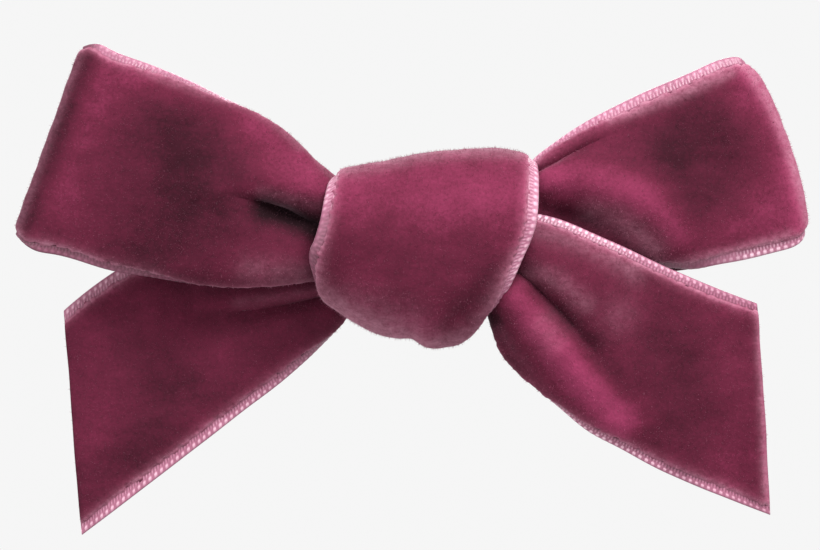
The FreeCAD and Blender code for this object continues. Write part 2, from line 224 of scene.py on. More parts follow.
# A socket of a material, so that shader maths reads as an expression.
class Signal:
    def __init__(self, finish, socket):
        self.finish, self.socket = finish, socket

    def maths(self, operation, a, b):
        return self.finish.add("ShaderNodeMath", {"operation": operation}, {0: a, 1: b})

    def __add__(self, other):
        return self.maths("ADD", self, other)

    def __sub__(self, other):
        return self.maths("SUBTRACT", self, other)

    def __rsub__(self, other):
        return self.maths("SUBTRACT", other, self)

    def __mul__(self, other):
        return self.maths("MULTIPLY", self, other)

    __radd__, __rmul__ = __add__, __mul__


# A material being put together, around one Principled shader.
class Finish:
    def __init__(self, name, **constants):
        self.material = bpy.data.materials.new(name)
        self.material.use_nodes = True
        self.tree = self.material.node_tree
        self.tree.nodes.clear()
        self.shader = self.tree.nodes.new("ShaderNodeBsdfPrincipled")
        output = self.tree.nodes.new("ShaderNodeOutputMaterial")
        self.tree.links.new(self.shader.outputs[0], output.inputs["Surface"])
        for key, value in constants.items():
            self.feed(self.shader.inputs[key.replace("_", " ")], value)
        self.place = self.add("ShaderNodeTexCoord", out="Object")

    def feed(self, socket, value):
        if isinstance(value, Signal):
            self.tree.links.new(value.socket, socket)
        else:
            socket.default_value = value

    # any node: its type, its settings first, then the values or links of its sockets
    def add(self, kind, settings=None, inputs=None, out=0):
        node = self.tree.nodes.new(kind)
        for key, value in (settings or {}).items():
            if key == "stops":
                ramp = node.color_ramp.elements
                while len(ramp) < len(value):
                    ramp.new(0.5)
                for element, (position, colour) in zip(ramp, value):
                    element.position, element.color = position, (*colour, 1)
            else:
                setattr(node, key, value)
        for key, value in (inputs or {}).items():
            self.feed(node.inputs[key], value)
        return Signal(self, node.outputs[out])

    def noise(self, size, detail=2.0, rough=0.5, stretch=(1, 1, 1), seed=0.0):
        place = self.add("ShaderNodeMapping", {}, {"Vector": self.place, "Scale": stretch,
                                                   "Location": (seed, seed * 0.7, 0)})
        return self.add("ShaderNodeTexNoise", {}, {"Vector": place, "Scale": 1 / (size * mm), "Detail": detail,
                                                   "Roughness": rough}, out="Fac")

    def mark(self, name):
        return self.add("ShaderNodeAttribute", {"attribute_name": name}, out="Fac")

    def ramp(self, share, *stops):
        return self.add("ShaderNodeValToRGB", {"stops": stops}, {"Fac": share}, out="Color")

    def mix(self, share, a, b):
        return self.add("ShaderNodeMix", {"data_type": "RGBA"}, {0: share, 6: a, 7: b}, out=2)

    def bump(self, height, depth, strength=1.0, under=None):
        inputs = {"Height": height, "Distance": depth * mm, "Strength": strength}
        if under is not None:
            inputs["Normal"] = under
        return self.add("ShaderNodeBump", {}, inputs)

    def set(self, **links):
        for key, value in links.items():
            self.feed(self.shader.inputs[key.replace("_", " ")], value)
        return self.material


# The velvet's tone scale, from shut to lit, carries painted shade and painted light as well as the pile's own
# tone; its darkest stop is painted shadow in the slots under the folds. The pale grey-mauve colour is mixed in
# as painted sheen.
velvetLook = {
    "shut": (0.011, 0.0018, 0.0040),
    "deep": (0.034, 0.0038, 0.0106),
    "body": (0.100, 0.0105, 0.0300),
    "lit": (0.250, 0.031, 0.086),
    "sheenPaint": (0.42, 0.185, 0.255),
    "sheenTint": (1.0, 0.60, 0.74, 1.0),
    "sheen": 0.30,
}


def makeVelvet():
    f = Finish("velvet_pile", Sheen_Weight=velvetLook["sheen"], Sheen_Roughness=0.32,
               Sheen_Tint=velvetLook["sheenTint"], Specular_IOR_Level=0.12)
    # The first mark carries painted shade and highlight together with the pile's own tone; the second lays
    # painted sheen, the pale grey-mauve, over the colour.
    nap = f.mark("nap")
    clouds = f.noise(9.0, 3.0, 0.55)
    brushed = f.noise(2.6, 3.0, 0.6, (1, 0.5, 1.6), 0.3)
    tufts = f.noise(0.42, 2.0, 0.7)
    shade = nap + (clouds - 0.5) * 0.42 + (brushed - 0.5) * 0.24 + (tufts - 0.5) * 0.34
    colour = f.ramp(shade * 0.8 + 0.2, (0.02, velvetLook["shut"]), (0.27, velvetLook["deep"]),
                    (0.58, velvetLook["body"]), (0.94, velvetLook["lit"]))
    sheenPaint = f.mark("bloom") * (f.noise(1.3, 3.0, 0.65, (1, 0.7, 1.5), 0.5) * 1.8 + tufts - 0.55)
    colour = f.mix(sheenPaint, colour, (*velvetLook["sheenPaint"], 1))
    lay = f.bump(f.noise(3.2, 2.0, 0.6, (1, 0.6, 1.4), 0.8), 0.25, 0.5)
    pile = f.bump(tufts, 0.10, 0.7, lay)
    return f.set(Base_Color=colour, Roughness=0.86 + (tufts - 0.5) * 0.1, Normal=pile)


def makeRibbonBack():
    f = Finish("woven_back", Sheen_Weight=0.12, Sheen_Roughness=0.5, Specular_IOR_Level=0.3)
    across, along = f.mark("across"), f.mark("along")
    warp = f.add("ShaderNodeMath", {"operation": "SINE"}, {0: across * (2 * math.pi / 0.34)})
    weft = f.add("ShaderNodeMath", {"operation": "SINE"}, {0: along * (2 * math.pi / 0.42)})
    weave = warp * weft * 0.5 + 0.5
    clouds = f.noise(6.0, 3.0)
    colour = f.ramp(weave * 0.35 + clouds * 0.65, (0.2, (0.085, 0.018, 0.038)), (0.8, (0.20, 0.055, 0.10)))
    return f.set(Base_Color=colour, Roughness=0.62 + (clouds - 0.5) * 0.2, Normal=f.bump(weave, 0.06, 0.8))


def makeSelvedge():
    f = Finish("satin_selvedge", Sheen_Weight=0.25, Sheen_Roughness=0.3, Sheen_Tint=(1, 0.8, 0.88, 1),
               Specular_IOR_Level=0.5)
    rib = f.mark("rib")
    clouds = f.noise(3.5, 2.0)
    shade = rib + (clouds - 0.5) * 0.35
    colour = f.ramp(shade, (0.0, (0.115, 0.022, 0.047)), (0.5, (0.36, 0.125, 0.20)), (1.0, (0.86, 0.56, 0.67)))
    thread = f.noise(0.12, 1.0, 0.5, (1, 1, 1), 0.4)
    return f.set(Base_Color=colour, Roughness=0.42 + (clouds - 0.5) * 0.2, Normal=f.bump(thread, 0.03, 0.7))


def makeCutEdge():
    f = Finish("cut_edge", Sheen_Weight=0.8, Sheen_Roughness=0.4, Sheen_Tint=(1, 0.8, 0.88, 1),
               Specular_IOR_Level=0.2)
    fibres = f.noise(0.18, 2.0, 0.7)
    colour = f.ramp(fibres, (0.3, (0.12, 0.026, 0.055)), (0.75, (0.42, 0.19, 0.27)))
    return f.set(Base_Color=colour, Roughness=0.8, Normal=f.bump(fibres, 0.08, 0.8))


def makeSteel(name, colour, rough, grain):
    f = Finish(name, Metallic=1.0)
    brushed = f.noise(0.5, 3.0, 0.6, grain)
    stains = f.noise(7.0, 4.0, 0.6, (1, 1, 1), 0.2)
    tint = f.mix(stains, (*[c * 0.86 for c in colour], 1), (*colour, 1))
    return f.set(Base_Color=tint, Roughness=rough + (brushed - 0.5) * 0.16 + (stains - 0.5) * 0.12,
                 Normal=f.bump(brushed, 0.012, 0.5))


def makeGlue():
    f = Finish("set_glue", Specular_IOR_Level=0.5, Transmission_Weight=0.35, IOR=1.47)
    clouds = f.noise(1.6, 3.0)
    colour = f.ramp(clouds, (0.3, (0.70, 0.66, 0.52)), (0.8, (0.86, 0.83, 0.72)))
    return f.set(Base_Color=colour, Roughness=0.22 + clouds * 0.2, Normal=f.bump(clouds, 0.1, 0.4))


velvet, ribbonBack, selvedgeSatin, cutEdge = makeVelvet(), makeRibbonBack(), makeSelvedge(), makeCutEdge()
clipSteel = makeSteel("nickel_plate", (0.66, 0.64, 0.60), 0.27, (1, 9, 9))
springSteel = makeSteel("spring_steel", (0.55, 0.55, 0.56), 0.33, (1, 9, 9))
pinSteel = makeSteel("pin_steel", (0.62, 0.61, 0.60), 0.30, (9, 9, 1))
setGlue = makeGlue()
print("materials made")


# every ribbon, in millimetres
ribbon = {
    "pile": 0.5,  # how high the pile stands over its ground
    "ground": 0.2,
    "bare": 1.05,  # the selvedge, where there is no pile
    "shoulder": 0.55,  # over which the pile rises from the selvedge
    "roll": 3.0,  # of cloth at each edge, which may roll back
    "pitch": 0.88,  # of the selvedge's blocks
    "blockOut": 0.02,
    "blockUp": 0.09,
    "width": 25.0,
}
paintedEdgeLight = {  # painted light along a selvedge: how wide, and what it adds to the painted shade and nap, and to the painted sheen
    "from": 0.4,
    "glow": (0.8, 0.16, 0.1),
    "foot": (0.3, 0.2, 0.5),
    "footAt": -0.25,
}
# The stray tips are painted a little paler and greyer than the pile under them: partly painted sheen.
stray = {"perArea": 9.0, "length": 0.34, "thick": 0.05, "lean": 0.45, "sunk": 0.06, "nap": 0.1, "bloom": 0.24,
         "vary": 0.1}


# How far each point of a grid is from its first column and from its last, along the cloth.
def acrossCloth(grid):
    step = np.linalg.norm(np.diff(grid, axis=1), axis=-1)
    run = np.concatenate([np.zeros((len(grid), 1)), np.cumsum(step, axis=1)], axis=1)
    return run, run[:, -1:] - run


def alongCloth(grid):
    step = np.linalg.norm(np.diff(grid, axis=0), axis=-1)
    return np.concatenate([np.zeros((1, grid.shape[1])), np.cumsum(step, axis=0)])


# The pile's height: full in the middle, none on the selvedges, with a rounded shoulder between, and
# lower at a cut end. Small hills make it uneven, and its foot a little ragged.
def pileHeight(grid, cutEnd, wide):
    low, high = acrossCloth(grid)
    edge = np.minimum(low, high)
    run = alongCloth(grid)
    bare = ribbon["bare"] * np.interp(run / run[-1:], *wide) * (1 + 0.1 * softHills(grid, 0.9, 8))
    rise = np.sqrt(np.clip((edge - bare) / ribbon["shoulder"], 0, 1))
    height = 0.03 + ribbon["pile"] * rise * (1 + 0.05 * softHills(grid, 3.0, 5))
    if cutEnd:
        height *= 0.45 + 0.55 * np.sqrt(np.clip((run[-1:] - run) / 0.7, 0, 1))
    return height


# The cloth ripples by soft hills along its normals.
def rippled(grid, side, high, size, seed):
    return grid + gridNormals(grid, side) * (high * softHills(grid, size, seed))[..., None]


# A selvedge: a flat section carried along an edge of the cloth. Its rim is plain, the threads behind it
# stand in a row of blocks, and a second row, twice as close, reaches into the pile.
section = np.array([  # how far out from the pile's foot, and how high over the ground
    (-0.2, -0.16), (0.5, -0.22), (0.95, -0.16), (1.1, 0.02), (1.0, 0.14), (0.8, 0.17), (0.6, 0.16),
    (0.38, 0.13), (0.18, 0.12), (0.0, 0.13), (-0.2, 0.08),
])
plainShare = np.array([0.1, 0.1, 0.25, 0.38, 0.42, 0.40, 0.32, 0.20, 0.12, 0.08, 0.0])
blockShare = np.array([0, 0, 0, 0.03, 0.08, 0.36, 0.62, 0.30, 0.52, 0.34, 0])
blockBeat = np.array([1, 1, 1, 1, 1, 1, 1, 2, 2, 2, 2])


def selvedge(name, edge, outward, normals, toneAndShade, wide):
    step = np.linalg.norm(np.diff(edge, axis=0), axis=1)
    run = np.concatenate([[0], np.cumsum(step)])
    count = int(run[-1] / ribbon["pitch"] * 11)
    s = np.linspace(0, run[-1], count)
    at = [np.stack([np.interp(s, run, row[:, i]) for i in range(3)], -1) for row in (edge, outward, normals)]
    line, out, up = at[0], unit(at[1]), unit(at[2])
    share = s / run[-1]
    turn = (s + 0.05 * np.sin(s / 2.3) + 0.05 * np.sin(s / 0.9))[:, None]
    block = smoothStep(0.5 + 0.8 * np.cos(2 * math.pi * turn * blockBeat / ribbon["pitch"]))
    away = (section[:, 0] - ribbon["bare"]) * np.interp(share, *wide)[:, None]
    away = away + ribbon["blockOut"] * block * (blockShare > 0.05)
    high = section[:, 1] + ribbon["blockUp"] * block * blockShare
    grid = line[:, None] + out[:, None] * away[..., None] + up[:, None] * high[..., None]
    faces = cells(count, len(section), closeColumns=True)
    ends = [list(range(len(section)))[::-1], [(count - 1) * len(section) + j for j in range(len(section))]]
    normal = np.cross(np.gradient(grid, axis=0)[1, 4], np.roll(grid[1], -1, axis=0)[4] - grid[1, 4])
    if (normal * up[1]).sum() < 0:
        faces = faces[:, ::-1]
        ends = [e[::-1] for e in ends]
    mesh = faces.tolist() + ends
    piece = newObject(name, grid, mesh, [selvedgeSatin])
    # The threads' level along the edge is partly painted shade and light: lower where the edge lies in shade,
    # higher where light falls on it.
    shares, levels, contrasts = toneAndShade
    light = np.interp(share, shares, contrasts)[:, None] * (plainShare + block * blockShare - 0.3)
    light = light + np.interp(share, shares, levels)[:, None]
    setMark(piece, "rib", light)
    return piece


# The pile's stray tips: thin slivers at random places on the pile, which stand along its normals and
# lean at random.
def fuzz(name, outer, side, height, marks, seed):
    rng = np.random.default_rng(seed)
    normals = gridNormals(outer, side)
    rows, columns = outer.shape[:2]
    size = np.linalg.norm(np.cross(np.gradient(outer, axis=0), np.gradient(outer, axis=1)), axis=-1)
    odds = (size * (height > 0.5 * ribbon["pile"])).ravel()
    count = int(odds.sum() * stray["perArea"])
    spot = rng.choice(rows * columns, count, p=odds / odds.sum())
    i, j = np.unravel_index(spot, (rows, columns))
    i2, j2 = np.minimum(i + 1, rows - 1), np.minimum(j + 1, columns - 1)
    a, b = rng.uniform(0, 1, (2, count, 1))
    foot = outer[i, j] * (1 - a) * (1 - b) + outer[i2, j] * a * (1 - b)
    foot += outer[i, j2] * (1 - a) * b + outer[i2, j2] * a * b
    up = normals[i, j]
    lean = unit(up + rng.normal(size=(count, 3)) * stray["lean"])
    wide = unit(np.cross(lean, rng.normal(size=(count, 3)))) * stray["thick"] / 2
    tip = foot + lean * (stray["length"] * rng.uniform(0.5, 1.2, (count, 1)))
    foot = foot - up * stray["sunk"]
    flip = np.where((np.cross(wide, lean) * up).sum(-1, keepdims=True) > 0, 1, -1)
    points = np.stack([foot - wide * flip, foot + wide * flip, tip], 1)
    piece = newObject(name, points, np.arange(count * 3).reshape(-1, 3).tolist(), [velvet])
    # Each tip takes the marks of the pile under it, painted a little paler and greyer at random: partly painted
    # sheen.
    for label, values in marks.items():
        setMark(piece, label, np.repeat(values[i, j] + rng.normal(stray[label], stray["vary"], count), 3))
    return piece


# Painted shade and highlight, partly the pile's own tone: a ribbon's own level, darker for pieces that lie in
# shade, plus soft marks in the front view, each along a line or
# round a point: the points, the radius, and how much lighter or darker.
def toneAndShadeMarks(grid, level, marks):
    nap = np.full(grid.shape[:2], float(level))
    for points, radius, amount in marks:
        path = np.array(points, float)
        if len(path) > 1:
            path = smoothLine(path, np.linspace(0, 1, 40))
        gap = np.linalg.norm(grid[..., None, [0, 2]] - path, axis=-1).min(-1)
        nap += amount * np.exp(-((gap / radius) ** 2))
    return nap


# A length of ribbon from its grid: the velvet with its woven back, a selvedge on each edge, and the stray
# tips. Beside the selvedges the pile gets a painted highlight, and at its foot painted light over the shade
# there.
def makeRibbon(name, grid, side, settings, nap, bloom, node, cutEnd=False):
    wide = settings["wide"]
    normals = gridNormals(grid, side)
    height = pileHeight(grid, cutEnd, wide)
    outer = grid + normals * height[..., None]
    inner = grid - normals * ribbon["ground"]
    low, high = acrossCloth(grid)
    along = alongCloth(grid)
    bare = ribbon["bare"] * np.interp(along / along[-1:], *wide)
    inside = np.minimum(low, high) - bare - paintedEdgeLight["from"]
    # painted highlight along the selvedges, and painted light over the shade at the pile's foot
    for (reach, napAndShadeMore, paintedSheenMore), at in ((paintedEdgeLight["glow"], 0), (paintedEdgeLight["foot"], paintedEdgeLight["footAt"])):
        light = np.exp(-(((inside - at) / reach) ** 2))
        nap, bloom = nap + napAndShadeMore * light, bloom + paintedSheenMore * light
    marks = {"nap": nap, "bloom": bloom, "across": low, "along": along}
    cloth = shell("velvet_" + name, outer, inner, side, [velvet, ribbonBack, cutEdge], marks)
    edges = []
    for label, toneAndShade, column, behind in zip(("lower", "upper"), settings["threadToneAndShade"], (0, -1), (3, -4)):
        edge = grid[:, column]
        outward = unit(edge - grid[:, behind])
        edges.append(selvedge(f"selvedge_{name}_{label}", edge, outward, normals[:, column], toneAndShade, wide))
    tips = fuzz("fuzz_" + name, outer, side, height, {"nap": nap, "bloom": bloom}, len(name))
    for piece in [cloth, tips] + edges:
        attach(piece, "bow_and_plate")
    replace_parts(cloth, node)
    return cloth


# The left loop. A rung: top, bottom, crown, how far its top and bottom edge roll back, in degrees. A mark of
# the painted shade or the painted sheen: its points, radius and amount. A selvedge's threads: shares of its
# length, and the level and contrast of its threads there; the level is partly painted shade and light.
loopLeft = {
    "rungs": [
        ((-9.5, -9.5, 5.0), (-9.5, -9.5, -3.6), 2.6, 60, 60),
        ((-12.9, -8.6, 8.8), (-13.8, -8.8, -5.2), 3.0, 105, 95),
        ((-16.2, -9.0, 12.7), (-18.4, -9.2, -6.1), 3.0, 115, 100),
        ((-20.5, -9.4, 16.1), (-25.2, -9.6, -6.2), 2.7, 100, 95),
        ((-27.5, -9.4, 19.7), (-33.5, -9.6, -5.5), 2.2, 65, 70),
        ((-34.8, -8.9, 22.6), (-40.6, -9.2, -3.9), 1.6, 30, 30),
        ((-39.8, -7.9, 24.2), (-47.2, -8.1, -1.8), 0.8, 8, 10),
        ((-42.1, -7.3, 24.9), (-50.6, -7.5, -0.6), 0.4, 3, 3),
        ((-43.3, -6.2, 24.6), (-51.9, -6.4, 0.7), 0.1, 0, 0),
        ((-42.3, -5.2, 24.8), (-50.8, -5.3, -0.4), 0.2, 0, 0),
        ((-40.4, -4.6, 24.0), (-47.6, -4.7, -1.3), 0.4, 10, 10),
        ((-34.8, -4.0, 21.6), (-40.8, -4.1, -3.3), 0.6, 20, 20),
        ((-27.5, -3.6, 18.0), (-33.5, -3.7, -4.4), 0.6, 30, 30),
        ((-20.5, -3.8, 13.4), (-25.2, -3.8, -4.6), 0.6, 30, 30),
        ((-14.5, -4.8, 8.0), (-16.0, -4.8, -3.6), 0.6, 30, 30),
        ((-9.5, -5.4, 4.0), (-9.5, -5.4, -2.6), 0.4, 10, 10),
    ],
    "frontShare": 0.47,
    "roundFold": 30,  # rows past the front that keep its brushing
    "ripple": (0.07, 9.0, 3),  # how high, how far apart, and the seed
    "creases": [
        {"line": [(-9.5, 2.6), (-13.6, 3.9), (-17.5, 4.8), (-21.5, 5.2), (-25.5, 5.2)], "high": -8.5,
         "wide": (3.4, 0.8), "strength": (1, 0), "gather": 0.25, "lip": 0.9},
        {"line": [(-9.5, 4.4), (-13.0, 5.6), (-17.0, 6.9), (-22.5, 7.6), (-27.0, 6.0)], "high": 1.2,
         "wide": (1.5, 2.6), "strength": (1, 0.3)},
        {"line": [(-10.0, -3.2), (-15.0, -3.2), (-20.5, -2.4), (-26.0, -0.4)], "high": 1.0, "wide": 2.2,
         "strength": (1, 0)},
        {"line": [(-27.0, 14.0), (-31.0, 8.0), (-34.0, 0.0)], "high": -0.9, "wide": 5.0, "strength": (0.6, 1)},
    ],
    # the threads' level along each selvedge is partly painted shade and light
    "threadToneAndShade": (([0, 0.2, 0.36, 0.46, 0.49, 0.52, 1], [0.02, 0.03, 0.07, 0.08, 0.0, 0.3, 0.3],
               [0.15, 0.2, 0.26, 0.26, 0.1, 0.5, 0.6]),
              ([0, 0.2, 0.36, 0.47, 0.488, 0.53, 1], [0.18, 0.32, 0.36, 0.38, 0.05, 0.3, 0.3],
               [0.3, 0.36, 0.36, 0.3, 0.1, 0.5, 0.6])),
    "wide": ([0, 0.2, 0.3, 0.465, 0.485, 0.51, 0.53, 1], [0.6, 0.7, 0.9, 1, 0.4, 0.4, 0.9, 1]),
    "level": 0.40,
    # marks of painted shade and highlight, partly the pile's own tone
    "toneAndShadeMarks": [
        ([(-30.5, 15.0), (-32.5, 7.0), (-34.5, -1.5)], 6.5, -0.24),
        ([(-25.0, 12.0), (-26.5, 2.0)], 4.5, -0.12),
        ([(-42.4, 23.0), (-50.8, 1.0)], 1.4, -0.26),
        ([(-40.5, 20.5), (-46.0, 6.0)], 3.0, 0.12),
        ([(-36.0, 20.0), (-28.0, 17.0), (-22.0, 14.4)], 2.2, 0.18),
        ([(-22.0, 13.5), (-16.0, 8.0)], 3.2, 0.16),
        ([(-15.0, 9.5), (-13.5, 5.5)], 1.6, 0.08),
        ([(-26.0, 6.8), (-21.0, 6.4), (-14.5, 4.9)], 0.8, 0.10),
        ([(-19.8, 3.9), (-16.0, 2.5), (-12.0, 0.9)], 1.8, -0.9),
        ([(-24.0, -2.5), (-17.0, -4.2)], 2.2, 0.10),
    ],
    # marks of painted sheen
    "bloom": [
        ([(-43.6, 23.5), (-51.6, 1.4)], 0.7, 0.26),
        ([(-48.0, -1.0), (-36.0, -4.6), (-26.0, -6.2), (-16.0, -5.6)], 0.8, 0.20),
        ([(-22.0, -3.6), (-15.0, -4.4)], 1.7, 0.16),
        ([(-20.5, 6.2), (-17.5, 5.6), (-13.5, 4.6)], 0.7, 0.14),
        ([(-36.0, 21.4), (-29.0, 18.6), (-22.0, 16.2), (-16.0, 11.4)], 0.6, 0.16),
    ],
}


# A loop: its ladder, with the creases on its front only. The back gets no marks of painted shade or sheen.
def makeLoop(name, settings, side, along=340, across=112):
    grid = ladder(settings["rungs"], along, across, side)
    normals = gridNormals(grid, side)
    front = int(along * settings["frontShare"])
    face, lean = grid[:front], normals[:front]
    for fold in settings["creases"]:
        face = crease(face, lean, **fold)
    grid = np.concatenate([face, grid[front:]])
    grid = rippled(grid, side, *settings["ripple"])
    nap = toneAndShadeMarks(grid, settings["level"], settings["toneAndShadeMarks"])
    bloom = toneAndShadeMarks(grid, 0, settings["bloom"])
    back = front + settings["roundFold"]
    nap[back:], bloom[back:] = settings["level"], 0
    return makeRibbon(name, grid, side, settings, nap, bloom, name)


loopRight = {
    "rungs": [
        ((9.5, -9.4, 7.6), (9.5, -9.0, -1.6), 2.2, 30, 30),
        ((14.2, -9.4, 10.9), (14.2, -8.2, -2.2), 2.8, 40, 40),
        ((17.7, -9.2, 13.4), (19.0, -8.0, -3.4), 2.6, 30, 20),
        ((22.2, -9.0, 16.1), (25.5, -8.2, -3.8), 2.2, 20, 30),
        ((28.5, -8.9, 19.2), (33.0, -8.8, -3.6), 1.9, 15, 50),
        ((34.0, -8.6, 21.5), (39.4, -8.6, -2.7), 1.6, 15, 10),
        ((38.3, -8.2, 23.2), (44.9, -8.4, -1.4), 1.1, 15, 10),
        ((40.7, -7.4, 23.0), (47.8, -7.6, -0.2), 1.0, 30, 14),
        ((41.4, -6.0, 22.2), (48.5, -6.1, 0.9), 1.0, 55, 20),
        ((40.8, -4.9, 22.2), (47.0, -4.9, 0.5), 0.8, 40, 12),
        ((37.6, -4.2, 21.6), (43.8, -4.3, -0.9), 0.5, 15, 10),
        ((33.0, -3.6, 20.2), (38.8, -3.7, -2.5), 0.5, 10, 10),
        ((27.0, -3.3, 17.8), (31.5, -3.4, -4.0), 0.5, 15, 15),
        ((20.0, -3.7, 13.4), (23.5, -3.8, -3.3), 0.5, 20, 20),
        ((14.5, -4.7, 8.4), (15.5, -4.8, -2.4), 0.4, 20, 20),
        ((9.5, -5.4, 4.2), (9.5, -5.4, -2.0), 0.4, 10, 10),
    ],
    "frontShare": 0.46,
    "roundFold": 30,
    "ripple": (0.07, 9.0, 3),
    "creases": [
        {"line": [(9.5, 8.0), (14.1, 9.4), (16.2, 10.2), (18.4, 11.2), (20.7, 12.2), (25.5, 13.6)],
         "high": -3.6, "wide": (1.3, 0.5), "strength": (1, 0), "gather": 0.3, "lip": 0.4},
        {"line": [(12.0, 7.0), (18.5, 7.6), (23.5, 6.6), (28.5, 3.8), (31.5, 0.4), (34.0, -2.6)], "high": 1.3,
         "wide": (2.2, 3.0), "strength": (0.4, 1, 1, 0.5)},
        {"line": [(12.0, 4.6), (16.5, 3.4), (20.5, 2.3), (24.0, 0.6), (27.0, -0.8)], "high": -2.0,
         "wide": (3.0, 2.0), "strength": (0.3, 1, 0)},
        {"line": [(27.0, 14.0), (33.0, 13.0), (38.0, 8.0)], "high": -1.0, "wide": 4.0, "strength": (0.4, 1)},
    ],
    "level": 0.42,
    # the threads' level along each selvedge is partly painted shade and light
    "threadToneAndShade": (([0, 0.3, 0.375, 0.4, 0.49, 0.52, 1], [0.1, 0.34, 0.42, 0.46, 0.42, 0.3, 0.3],
               [0.2, 0.2, 0.3, 0.9, 0.5, 0.4, 0.6]),
              ([0, 0.1, 0.2, 0.42, 0.48, 0.55, 1], [0.4, 0.46, 0.42, 0.36, 0.32, 0.3, 0.3],
               [0.3, 0.4, 0.38, 0.34, 0.2, 0.5, 0.6])),
    "wide": ([0, 0.07, 0.16, 0.24, 0.42, 0.46, 0.5, 0.56, 1], [0.45, 0.5, 0.9, 1.2, 1.2, 1, 0.85, 0.9, 1]),
    # marks of painted shade and highlight, partly the pile's own tone
    "toneAndShadeMarks": [
        ([(33.0, 15.0), (40.0, 12.0)], 4.5, -0.26),
        ([(31.0, 10.0), (36.0, 5.0)], 3.4, -0.24),
        ([(40.0, 23.0), (43.5, 18.0), (46.6, 9.0), (48.2, 1.5)], 1.3, 0.5),
        ([(40.5, 20.0), (45.6, 6.0)], 3.0, 0.18),
        ([(38.0, 2.0), (45.0, 2.0)], 3.0, 0.14),
        ([(17.0, 7.4), (23.0, 7.0), (28.5, 4.4), (31.5, 0.8)], 2.2, 0.24),
        ([(15.0, 4.0), (20.5, 2.2), (24.3, 0.3), (27.0, -2.0)], 1.5, -0.2),
        ([(21.0, 14.6), (27.0, 17.2), (36.0, 21.0)], 1.2, 0.06),
        ([(12.0, 7.4), (15.0, 7.6)], 2.4, 0.12),
    ],
    # marks of painted sheen
    "bloom": [
        ([(39.5, 23.4), (43.5, 17.0), (46.8, 8.0), (48.6, 1.0)], 0.8, 0.58),
        ([(46.0, 0.6), (38.0, -1.6), (32.0, -2.8)], 0.7, 0.3),
        ([(21.0, 3.8), (25.5, 2.2), (29.0, -1.0)], 1.6, 0.22),
        ([(23.5, 15.3), (29.2, 17.2), (34.9, 19.5), (38.5, 21.2)], 0.8, 0.34),
    ],
}


tailLeft = {
    "rungs": [
        ((-9.5, -3.6, -2.0), (-9.4, -4.4, -7.6), 0.6, 10, 60),
        ((-14.0, -3.0, -2.2), (-11.0, -4.0, -10.2), 0.9, 10, 115),
        ((-19.5, -2.4, -1.6), (-13.5, -3.6, -13.7), 0.9, 10, 80),
        ((-26.0, -2.0, -0.9), (-20.4, -3.2, -19.7), 0.8, 10, 20),
        ((-33.0, -1.9, -1.4), (-28.0, -2.8, -25.5), 0.6, 0, 5),
        ((-39.9, -1.8, -4.0), (-36.2, -2.5, -31.8), 0.4, 0, 0),
        ((-46.4, -1.6, -9.0), (-44.1, -2.0, -37.8), 0.2, 0, 0),
    ],
    "creases": [
        {"line": [(-9.5, -6.0), (-14.0, -7.0), (-22.2, -8.8), (-29.5, -9.3)], "high": -1.8, "wide": (1.8, 0.6),
         "strength": (1, 0), "gather": 0.2, "lip": 0.4},
        {"line": [(-11.5, -9.0), (-18.0, -11.6), (-27.0, -15.6)], "high": 0.9, "wide": 2.6, "strength": (1, 0)},
        {"line": [(-30.0, -10.0), (-34.0, -18.0), (-38.0, -30.0)], "high": -0.5, "wide": 3.5,
         "strength": (1, 0.6)},
    ],
    "ripple": (0.12, 9.0, 4),
    "level": 0.34,
    # marks of painted shade and highlight, partly the pile's own tone
    "toneAndShadeMarks": [
        ([(-42.5, -13.0), (-41.5, -24.0)], 3.0, 0.16),
        ([(-33.0, -18.0), (-35.0, -28.0)], 4.0, -0.14),
        ([(-36.0, -9.0), (-26.0, -14.0)], 2.6, 0.10),
        ([(-29.0, -8.4), (-14.0, -6.6)], 0.9, 0.14),
        ([(-16.0, -10.0), (-21.0, -12.0)], 2.4, -0.04),
    ],
    # marks of painted sheen
    "bloom": [([(-24.0, -7.9), (-14.0, -6.4)], 0.7, 0.1)],
    # the threads' level along each selvedge is partly painted shade and light
    "threadToneAndShade": (([0, 0.15, 0.4, 1], [0.12, 0.2, 0.34, 0.36], [0.3, 0.4, 0.7, 0.7]),
              ([0, 1], [0.28, 0.34], [0.6, 0.6])),
    "wide": ([0, 0.3, 0.6, 1], [1, 1, 1.25, 1.3]),
}

